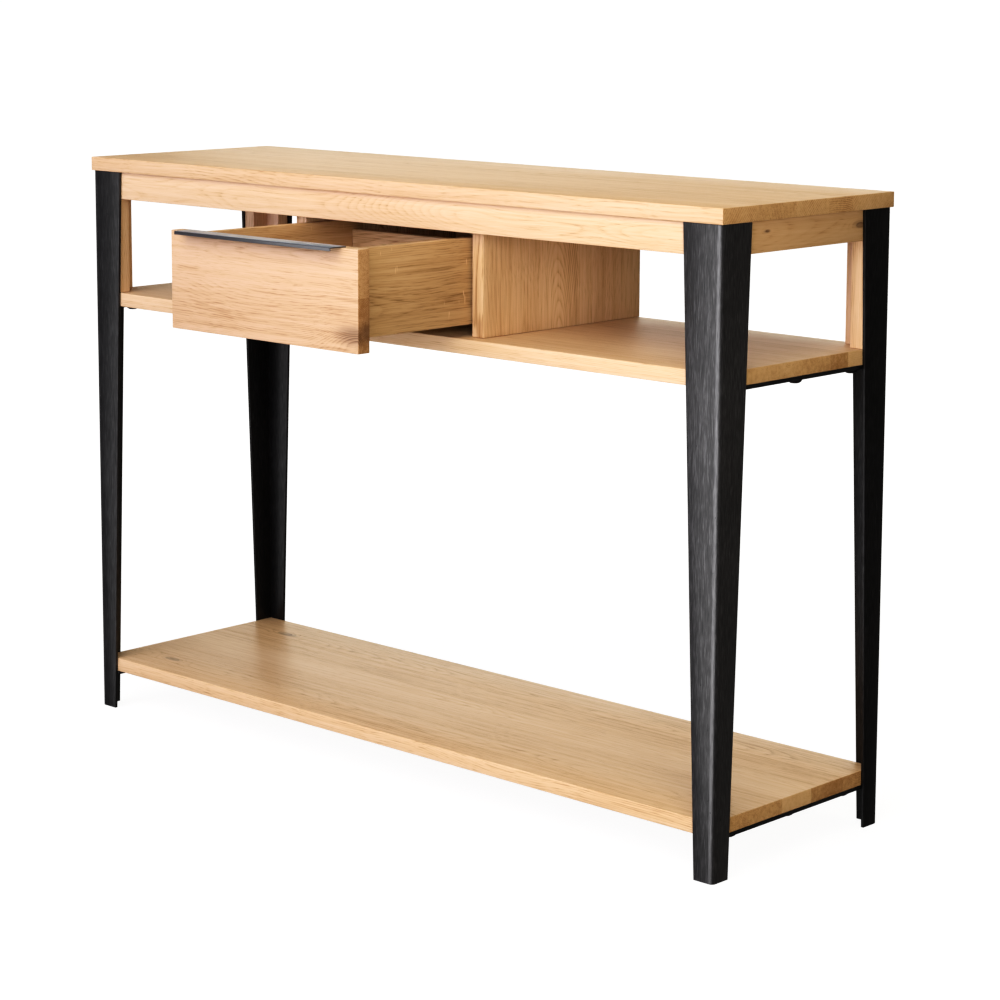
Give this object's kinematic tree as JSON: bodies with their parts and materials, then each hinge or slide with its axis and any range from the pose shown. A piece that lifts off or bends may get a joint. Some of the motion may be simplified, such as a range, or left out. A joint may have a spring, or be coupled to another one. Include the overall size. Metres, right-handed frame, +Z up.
{
  "type": "console table",
  "caption": "Console table with an oak top, open niches, a shallow pull-out drawer and a low shelf, on tapered folded-steel legs.",
  "frame": {"origin": "on the floor, under the centre of the whole bounding box with the drawer standing open as at rest", "axes": "+X to the right along the length when facing the drawer, +Y to the back, +Z up; the drawer opens towards -Y"},
  "size_m": [1.2, 0.5684, 0.838],
  "materials": {
    "oak": "oiled solid oak, edge-glued staves",
    "drawer_oak": "oiled solid oak, darker boards",
    "blackened_steel": "blackened, brushed lengthwise, clear lacquer",
    "zinc_steel": "zinc plated sheet",
    "pull_metal": "grey anodised, brushed",
    "clip_plastic": "matte black"
  },
  "bodies": {
    "table": {"top_board": "oak", "apron_front": "oak", "apron_back": "oak", "apron_left": "oak", "apron_right": "oak", "post_side_front_left": "oak", "post_face_front_left": "oak", "post_side_front_right": "oak", "post_face_front_right": "oak", "post_side_back_left": "oak", "post_face_back_left": "oak", "post_side_back_right": "oak", "post_face_back_right": "oak", "middle_shelf": "oak", "low_shelf": "oak", "divider_left": "oak", "divider_right": "oak", "bay_back_panel": "oak", "leg_front_left": "blackened_steel", "leg_front_right": "blackened_steel", "leg_back_left": "blackened_steel", "leg_back_right": "blackened_steel", "crossbar_middle_left": "blackened_steel", "crossbar_middle_right": "blackened_steel", "crossbar_low_left": "blackened_steel", "crossbar_low_right": "blackened_steel", "bolt_middle_left_1": "blackened_steel", "bolt_middle_left_2": "blackened_steel", "bolt_middle_left_3": "blackened_steel", "bolt_middle_right_1": "blackened_steel", "bolt_middle_right_2": "blackened_steel", "bolt_middle_right_3": "blackened_steel", "bolt_low_left_1": "blackened_steel", "bolt_low_left_2": "blackened_steel", "bolt_low_left_3": "blackened_steel", "bolt_low_right_1": "blackened_steel", "bolt_low_right_2": "blackened_steel", "bolt_low_right_3": "blackened_steel", "cabinet_rail_left": "zinc_steel", "cabinet_rail_right": "zinc_steel", "rail_screw_left_1": "zinc_steel", "rail_screw_left_2": "zinc_steel", "rail_screw_right_1": "zinc_steel", "rail_screw_right_2": "zinc_steel"},
    "drawer": {"drawer_front": "oak", "drawer_side_left": "drawer_oak", "drawer_side_right": "drawer_oak", "drawer_back": "drawer_oak", "drawer_bottom": "drawer_oak", "edge_pull": "pull_metal", "drawer_rail_left": "zinc_steel", "drawer_rail_right": "zinc_steel", "locking_clip_left": "clip_plastic", "locking_clip_right": "clip_plastic"},
    "runner_left": {"middle_rail_left": "zinc_steel"},
    "runner_right": {"middle_rail_right": "zinc_steel"}
  },
  "joints": [
    {"name": "drawer_slide", "type": "slide", "parent": "table", "child": "drawer", "axis": [0, -1, 0], "range_m": [-0.205, 0.045]},
    {"name": "runner_slide_left", "type": "slide", "parent": "table", "child": "runner_left", "axis": [0, -1, 0], "range_m": [-0.1025, 0.0225]},
    {"name": "runner_slide_right", "type": "slide", "parent": "table", "child": "runner_right", "axis": [0, -1, 0], "range_m": [-0.1025, 0.0225]}
  ],
  "couplings": [
    {"joint": "runner_slide_left", "follows": "drawer_slide", "ratio": 0.5},
    {"joint": "runner_slide_right", "follows": "drawer_slide", "ratio": 0.5}
  ]
}
